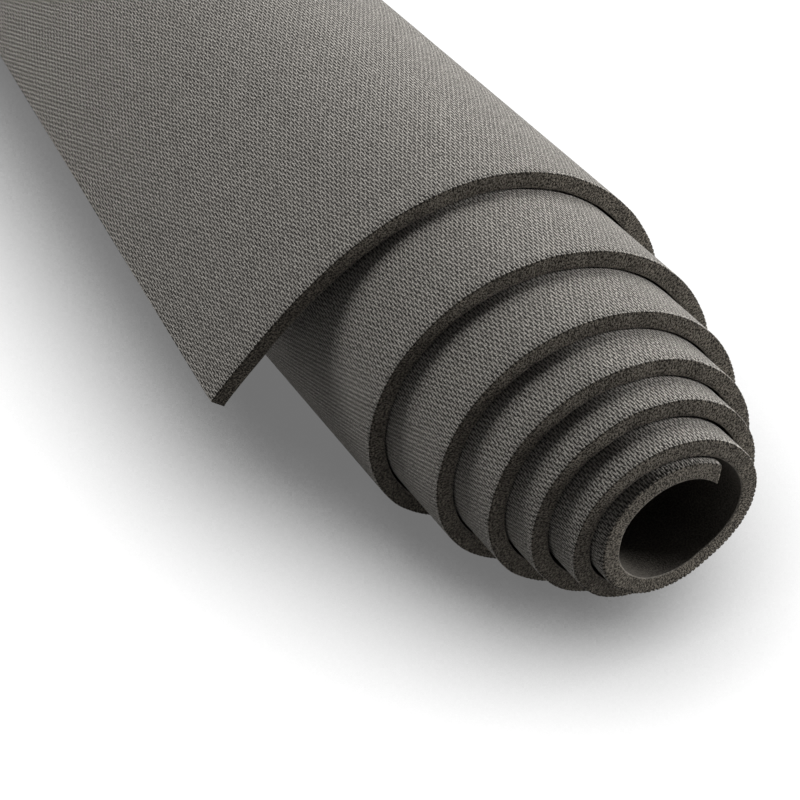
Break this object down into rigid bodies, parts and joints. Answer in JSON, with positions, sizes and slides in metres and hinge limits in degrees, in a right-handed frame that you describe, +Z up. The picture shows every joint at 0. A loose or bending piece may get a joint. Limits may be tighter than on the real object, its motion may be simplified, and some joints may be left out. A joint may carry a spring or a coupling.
{
  "type": "exercise mat",
  "caption": "Rolled foam exercise mat lying on its side, its turns pushed out like a telescope and its end hanging loose; the turns slide and the outer wrap peels open flat.",
  "frame": {"origin": "middle of the whole part's box, on the floor that the roll stands on", "axes": "+Y along the roll, away from the end whose turns stand out; +Z up; +X to the right of someone looking along +Y, and the loose end hangs on the -X side"},
  "size_m": [0.1723, 0.738, 0.1276],
  "materials": {
    "base_foam": "matt closed-cell foam, smooth on the underside",
    "scrim": "fine open-weave polyester",
    "grip_foam": "matt closed-cell foam with a fine woven-look emboss"
  },
  "bodies": {
    "standing_turn": {"standing_turn_base_foam": "base_foam", "standing_turn_scrim": "scrim", "standing_turn_grip_foam": "grip_foam"},
    "fifth_turn": {"fifth_turn_base_foam": "base_foam", "fifth_turn_scrim": "scrim", "fifth_turn_grip_foam": "grip_foam"},
    "fourth_turn": {"fourth_turn_base_foam": "base_foam", "fourth_turn_scrim": "scrim", "fourth_turn_grip_foam": "grip_foam"},
    "third_turn": {"third_turn_base_foam": "base_foam", "third_turn_scrim": "scrim", "third_turn_grip_foam": "grip_foam"},
    "second_turn": {"second_turn_base_foam": "base_foam", "second_turn_scrim": "scrim", "second_turn_grip_foam": "grip_foam"},
    "core_turn": {"core_turn_base_foam": "base_foam", "core_turn_scrim": "scrim", "core_turn_grip_foam": "grip_foam"},
    "peel_panel_1": {"peel_panel_1_base_foam": "base_foam", "peel_panel_1_scrim": "scrim", "peel_panel_1_grip_foam": "grip_foam"},
    "peel_panel_2": {"peel_panel_2_base_foam": "base_foam", "peel_panel_2_scrim": "scrim", "peel_panel_2_grip_foam": "grip_foam"},
    "peel_panel_3": {"peel_panel_3_base_foam": "base_foam", "peel_panel_3_scrim": "scrim", "peel_panel_3_grip_foam": "grip_foam"},
    "peel_panel_4": {"peel_panel_4_base_foam": "base_foam", "peel_panel_4_scrim": "scrim", "peel_panel_4_grip_foam": "grip_foam"},
    "flap_panel_1": {"flap_panel_1_base_foam": "base_foam", "flap_panel_1_scrim": "scrim", "flap_panel_1_grip_foam": "grip_foam"},
    "flap_panel_2": {"flap_panel_2_base_foam": "base_foam", "flap_panel_2_scrim": "scrim", "flap_panel_2_grip_foam": "grip_foam"},
    "flap_panel_3": {"flap_panel_3_base_foam": "base_foam", "flap_panel_3_scrim": "scrim", "flap_panel_3_grip_foam": "grip_foam"},
    "flap_panel_4": {"flap_panel_4_base_foam": "base_foam", "flap_panel_4_scrim": "scrim", "flap_panel_4_grip_foam": "grip_foam"}
  },
  "joints": [
    {"name": "fifth_turn_slide", "type": "slide", "parent": "standing_turn", "child": "fifth_turn", "axis": [0, -1, 0], "range_m": [-0.0299, 0.01495]},
    {"name": "fourth_turn_slide", "type": "slide", "parent": "fifth_turn", "child": "fourth_turn", "axis": [0, -1, 0], "range_m": [-0.01938, 0.00969]},
    {"name": "third_turn_slide", "type": "slide", "parent": "fourth_turn", "child": "third_turn", "axis": [0, -1, 0], "range_m": [-0.01396, 0.00698]},
    {"name": "second_turn_slide", "type": "slide", "parent": "third_turn", "child": "second_turn", "axis": [0, -1, 0], "range_m": [-0.0119, 0.00595]},
    {"name": "core_turn_slide", "type": "slide", "parent": "second_turn", "child": "core_turn", "axis": [0, -1, 0], "range_m": [-0.00384, 0.00192]},
    {"name": "peel_panel_1_hinge", "type": "hinge", "parent": "standing_turn", "child": "peel_panel_1", "pos_m": [0.05034, 0, 0.00891], "axis": [0, 1, 0], "range_deg": [0, 50.19]},
    {"name": "peel_panel_2_hinge", "type": "hinge", "parent": "peel_panel_1", "child": "peel_panel_2", "pos_m": [0.07723, 0, 0.03368], "axis": [0, 1, 0], "range_deg": [0, 28.21]},
    {"name": "peel_panel_3_hinge", "type": "hinge", "parent": "peel_panel_2", "child": "peel_panel_3", "pos_m": [0.08538, 0, 0.0732], "axis": [0, 1, 0], "range_deg": [0, 42.02]},
    {"name": "peel_panel_4_hinge", "type": "hinge", "parent": "peel_panel_3", "child": "peel_panel_4", "pos_m": [0.06551, 0, 0.10823], "axis": [0, 1, 0], "range_deg": [0, 33.34]},
    {"name": "flap_panel_1_hinge", "type": "hinge", "parent": "peel_panel_4", "child": "flap_panel_1", "pos_m": [0.03132, 0, 0.12599], "axis": [0, 1, 0], "range_deg": [0, 28.54]},
    {"name": "flap_panel_2_hinge", "type": "hinge", "parent": "flap_panel_1", "child": "flap_panel_2", "pos_m": [-0.00518, 0, 0.1248], "axis": [0, 1, 0], "range_deg": [0, 24.29]},
    {"name": "flap_panel_3_hinge", "type": "hinge", "parent": "flap_panel_2", "child": "flap_panel_3", "pos_m": [-0.0375, 0, 0.10933], "axis": [0, 1, 0], "range_deg": [0, 16.3]},
    {"name": "flap_panel_4_hinge", "type": "hinge", "parent": "flap_panel_3", "child": "flap_panel_4", "pos_m": [-0.06381, 0, 0.08616], "axis": [0, 1, 0], "range_deg": [0, 6.9]}
  ],
  "couplings": [
    {"joint": "fourth_turn_slide", "follows": "fifth_turn_slide", "ratio": 0.648},
    {"joint": "third_turn_slide", "follows": "fifth_turn_slide", "ratio": 0.4666},
    {"joint": "second_turn_slide", "follows": "fifth_turn_slide", "ratio": 0.3977},
    {"joint": "core_turn_slide", "follows": "fifth_turn_slide", "ratio": 0.1283}
  ]
}
